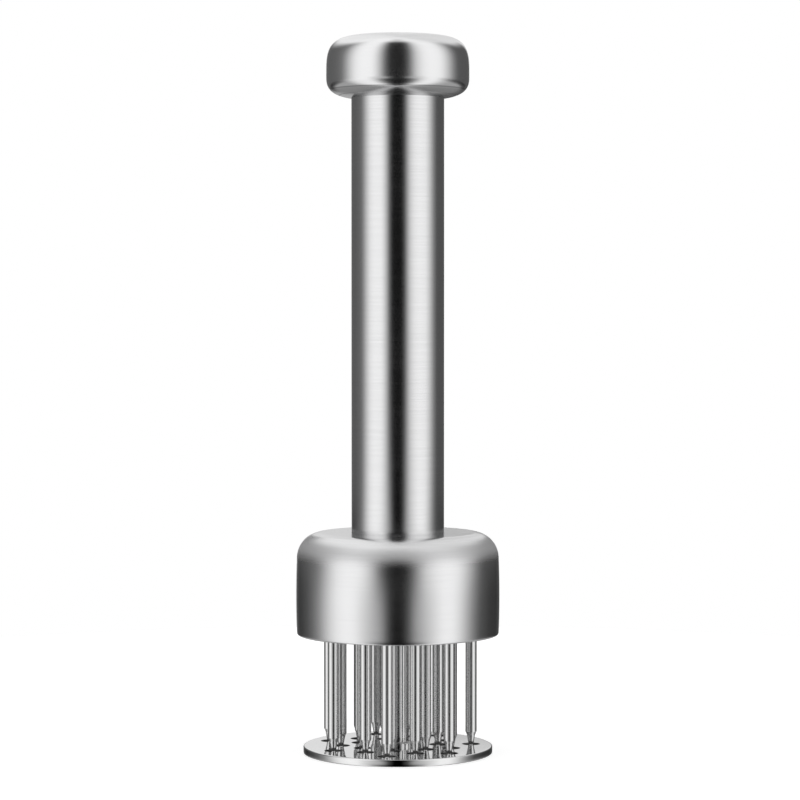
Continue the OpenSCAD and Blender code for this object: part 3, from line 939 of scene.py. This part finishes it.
# Neighbouring parts made one: their points that are equal in whole weld steps are joined
def weldParts(parts, step):
    points = np.concatenate([p for p, f in parts])
    offsets = np.cumsum([0] + [len(p) for p, f in parts[:-1]])
    key = np.round(points / step).astype(np.int64)
    first, same = np.unique(key, axis=0, return_index=True, return_inverse=True)[1:]
    same = same.ravel()
    faces = [same[f + o] for (p, f), o in zip(parts, offsets)]
    return points[first], faces


# Walls and flats of the disc: the rim first, then the walls of all holes, then the upper and lower face
def guardParts(sizes):
    low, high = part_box("guard_disc")
    hold, axisPoint = sizes["hold"], (0.0, 0.0)
    rimEdge = plateEdge(nodeRadius("guard_disc"), sizes["rimRound"], 1, low, high, sizes)
    holeEdge = plateEdge(sizes["hole"] / 2, sizes["holeRound"], -1, low, high, sizes)
    centreRadius = sizes["centreHole"] / 2
    sinkRadius = sizes["sink"] / 2
    sinkFoot = low.z + sizes["sinkDepth"]
    centreEdge = [
        [centreRadius + hold, high.z],
        [centreRadius, high.z],
        [centreRadius, sinkFoot + sinkRadius - centreRadius],
        [sinkRadius, sinkFoot],
        [sinkRadius, low.z],
        [sinkRadius + hold, low.z],
    ]
    places = [nodeCentre(name) for name in needleNames]
    parts = [edgeBand(rimEdge, sizes["rimSteps"], axisPoint, False)]
    parts += [edgeBand(holeEdge, sizes["holeSteps"], place, True) for place in places]
    parts.append(edgeBand(centreEdge, sizes["holeSteps"], axisPoint, True))
    rim = (axisPoint, rimEdge[0][0], sizes["rimSteps"])
    holes = [(place, holeEdge[0][0], sizes["holeSteps"]) for place in places]
    for (r, z), up in ((centreEdge[0], True), (centreEdge[-1], False)):
        circles = holes + [(axisPoint, r, sizes["holeSteps"])]
        parts.append(flatFace(rim, circles, z, up, sizes["cutTolerance"]))
    return parts


def addGuardDisc(sizes):
    points, faces = weldParts(guardParts(sizes), sizes["weldStep"])
    quads = np.concatenate([f for f in faces if f.shape[1] == 4])
    triangles = np.concatenate([f for f in faces if f.shape[1] == 3])
    piece = meshObject("guardDisc", points, [quads, triangles])

    # The rim comes first among the four-cornered faces, and the rest of these are the walls of the holes,
    # which the bore share paints dark as shade
    inBore = np.zeros(len(quads) + len(triangles), np.float32)
    inBore[len(faces[0]):len(quads)] = 1
    piece.data.attributes.new("boreShare", "FLOAT", "FACE").data.foreach_set("value", inBore)
    settle(piece, "guard", "guard_polish", "guard_disc")


addGuardDisc(guardSizes)

stemSizes = {
    "shaft": 6.0 * mm,
    "footHeight": 1.0 * mm,
    "endDiameter": 4.0 * mm,
    "screwHole": 3.1 * mm,
    "screwDepth": 7.3 * mm,
    "edgeRound": 0.2 * mm,
    "arcSteps": 4,
    "steps": 96,
}


def addGuardStem(sizes):
    low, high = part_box("guard_stem")
    foot = nodeRadius("guard_stem")
    shaft = sizes["shaft"] / 2
    end = sizes["endDiameter"] / 2
    hole = sizes["screwHole"] / 2
    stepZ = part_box("stem_washer")[0].z
    edge = sizes["edgeRound"]
    corners = [
        (0, low.z + sizes["screwDepth"], 0),
        (hole, low.z + sizes["screwDepth"], 0),
        (hole, low.z, 0),
        (foot, low.z, 0),
        (foot, low.z + sizes["footHeight"], edge),
        (shaft, low.z + sizes["footHeight"], edge),
        (shaft, stepZ, edge),
        (end, stepZ, 0),
        (end, high.z, edge),
        (0, high.z, 0),
    ]
    outline = roundedOutline(corners, closed=False, arcSteps=sizes["arcSteps"])
    piece = latheObject("guardStem", outline, sizes["steps"])
    settle(piece, "guard", "stem_polish", "guard_stem")


addGuardStem(stemSizes)

print("stage: return spring")

springSizes = {
    "wire": 1.6 * mm,
    "turns": 14,
    "seatGap": 0.05 * mm,
    "stopThickness": 2.0 * mm,
    "endGap": 0.6 * mm,
    "closedTurns": 1.0,
    "openingTurns": 1.0,
    "ringsPerTurn": 40,
    "sides": 14,
}


# Middle line of the spring's wire, at (R cos a, R sin a, z) with a = 2 pi t after t turns. Its height rises
# by wire and end gap a turn, plus the free rest of the height times a share that is 0 in the first turn,
# opens on a parabola and is 1 in the last. The second array is the direction out from the axis.
def springLine(sizes, radius, lowZ, highZ):
    turns, closed, opening = sizes["turns"], sizes["closedTurns"], sizes["openingTurns"]
    t = np.linspace(0, turns, turns * sizes["ringsPerTurn"] + 1)
    rate = 1 / (turns - 2 * closed - opening)
    fromStart = np.clip(t - closed, 0, None)
    fromEnd = np.clip(turns - closed - t, 0, None)
    share = np.where(fromStart < opening, rate * fromStart ** 2 / (2 * opening),
                     np.where(fromEnd < opening, 1 - rate * fromEnd ** 2 / (2 * opening),
                              rate * (fromStart - opening / 2)))
    closedRise = sizes["wire"] + sizes["endGap"]
    z = lowZ + closedRise * t + (highZ - lowZ - closedRise * turns) * share
    angle = 2 * np.pi * t
    middle = np.stack([radius * np.cos(angle), radius * np.sin(angle), z], axis=1)
    return middle, np.stack([np.cos(angle), np.sin(angle), 0 * angle], axis=1)


# Skin of the wire: a circle round every point of the middle line, square to it, and a cap on each end
def wireSkin(middle, outward, radius, sides):
    ahead = np.gradient(middle, axis=0)
    ahead /= np.linalg.norm(ahead, axis=1)[:, None]
    upward = np.cross(ahead, outward)
    around = np.arange(sides) * 2 * np.pi / sides
    points = (middle[:, None, :] + radius * (np.cos(around)[None, :, None] * outward[:, None, :]
                                             - np.sin(around)[None, :, None] * upward[:, None, :]))
    index = np.arange(len(middle) * sides).reshape(-1, sides)
    low, high = index[:-1], index[1:]
    quads = np.stack([low, np.roll(low, -1, axis=1), np.roll(high, -1, axis=1), high], axis=2)
    caps = np.stack([index[0][::-1], index[-1]])
    return points.reshape(-1, 3), [quads.reshape(-1, 4), caps]


def addReturnSpring(sizes):
    wire = sizes["wire"]
    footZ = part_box("stem_washer")[1].z + sizes["seatGap"]
    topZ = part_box("spring_stop")[1].z - sizes["stopThickness"] - sizes["seatGap"]
    radius = nodeRadius("return_spring") - wire / 2
    middle, outward = springLine(sizes, radius, footZ + wire / 2, topZ - wire / 2)
    points, faces = wireSkin(middle, outward, wire / 2, sizes["sides"])
    piece = meshObject("returnSpring", points, faces)
    settle(piece, "handle", "spring_wire", "return_spring")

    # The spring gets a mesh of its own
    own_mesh(piece)


addReturnSpring(springSizes)

print("stage: done")

scene.view_settings.view_transform = "Standard"
